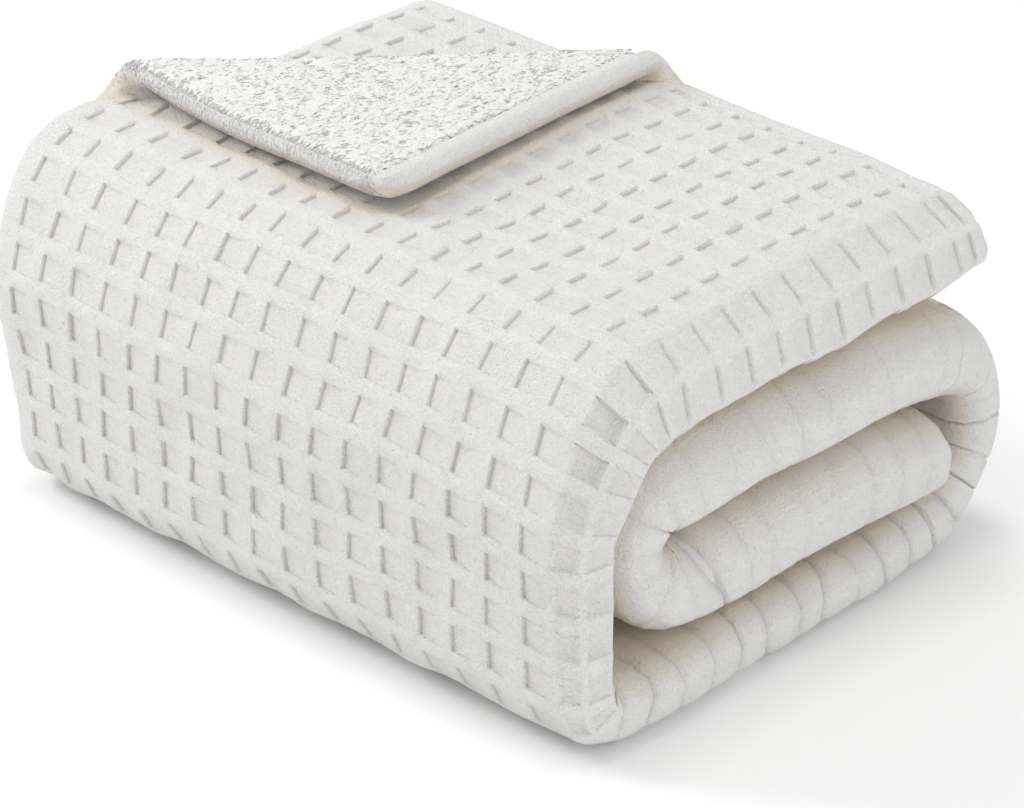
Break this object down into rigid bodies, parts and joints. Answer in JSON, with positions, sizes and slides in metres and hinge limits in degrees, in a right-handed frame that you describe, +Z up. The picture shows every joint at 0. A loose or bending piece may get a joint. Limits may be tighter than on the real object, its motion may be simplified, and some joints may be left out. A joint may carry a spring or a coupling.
{
  "type": "electric blanket",
  "caption": "Electric throw blanket, folded in thirds and rolled, with a raised waffle face and a fluffy fleece back that shows on a turned corner.",
  "frame": {"origin": "centre of the blanket's box on the floor, at the flat base of the roll", "axes": "+X across the folded strip, towards its rounded folded edges; +Y from the roll's spine towards its open back; +Z up"},
  "size_m": [0.4502, 0.3568, 0.2381],
  "materials": {
    "waffle_face": "matt brushed waffle plush, off-white",
    "fleece_back": "matt curly fleece pile, white"
  },
  "bodies": {
    "root": {"waffle_face": "waffle_face", "fleece_back": "fleece_back"}
  },
  "joints": []
}
